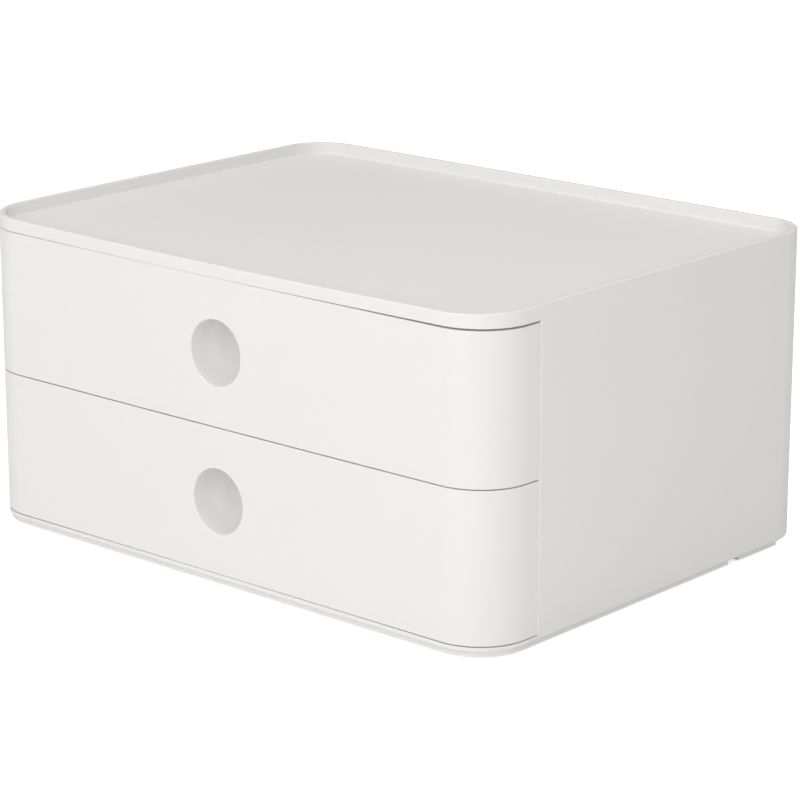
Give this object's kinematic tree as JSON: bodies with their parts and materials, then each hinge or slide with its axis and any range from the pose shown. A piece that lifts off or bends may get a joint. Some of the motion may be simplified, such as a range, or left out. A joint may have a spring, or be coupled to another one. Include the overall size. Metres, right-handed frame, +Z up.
{
  "type": "desk drawer box",
  "caption": "White desk box with a raised-rim tray on top and smooth drawers that wrap round the front corners, each pulled by a round finger cup.",
  "frame": {"origin": "on the table, under the middle of the box's outline", "axes": "+X along the width to the viewer's right, +Y from the drawer fronts to the rear wall, +Z up; the drawers open towards -Y"},
  "size_m": [0.26, 0.195, 0.125],
  "materials": {
    "gloss_white_shell": "high gloss warm white ABS",
    "matte_white_inside": "fine satin white ABS",
    "runner_plastic": "natural low-friction plastic",
    "stop_plastic": "light grey nylon",
    "grey_rubber": "soft matt rubber"
  },
  "bodies": {
    "housing": {"housing_shell": "gloss_white_shell", "base_plate": "matte_white_inside", "front_left_foot": "grey_rubber", "front_right_foot": "grey_rubber", "rear_left_foot": "grey_rubber", "rear_right_foot": "grey_rubber", "upper_left_runner": "runner_plastic", "upper_right_runner": "runner_plastic", "lower_left_runner": "runner_plastic", "lower_right_runner": "runner_plastic", "upper_left_stop": "stop_plastic", "upper_right_stop": "stop_plastic", "lower_left_stop": "stop_plastic", "lower_right_stop": "stop_plastic", "upper_left_buffer": "grey_rubber", "upper_right_buffer": "grey_rubber", "lower_left_buffer": "grey_rubber", "lower_right_buffer": "grey_rubber"},
    "upper_drawer": {"upper_drawer_front": "gloss_white_shell", "upper_drawer_tray": "matte_white_inside"},
    "lower_drawer": {"lower_drawer_front": "gloss_white_shell", "lower_drawer_tray": "matte_white_inside"}
  },
  "joints": [
    {"name": "upper_drawer_slide", "type": "slide", "parent": "housing", "child": "upper_drawer", "axis": [0, -1, 0], "range_m": [0, 0.12]},
    {"name": "lower_drawer_slide", "type": "slide", "parent": "housing", "child": "lower_drawer", "axis": [0, -1, 0], "range_m": [0, 0.12]}
  ]
}
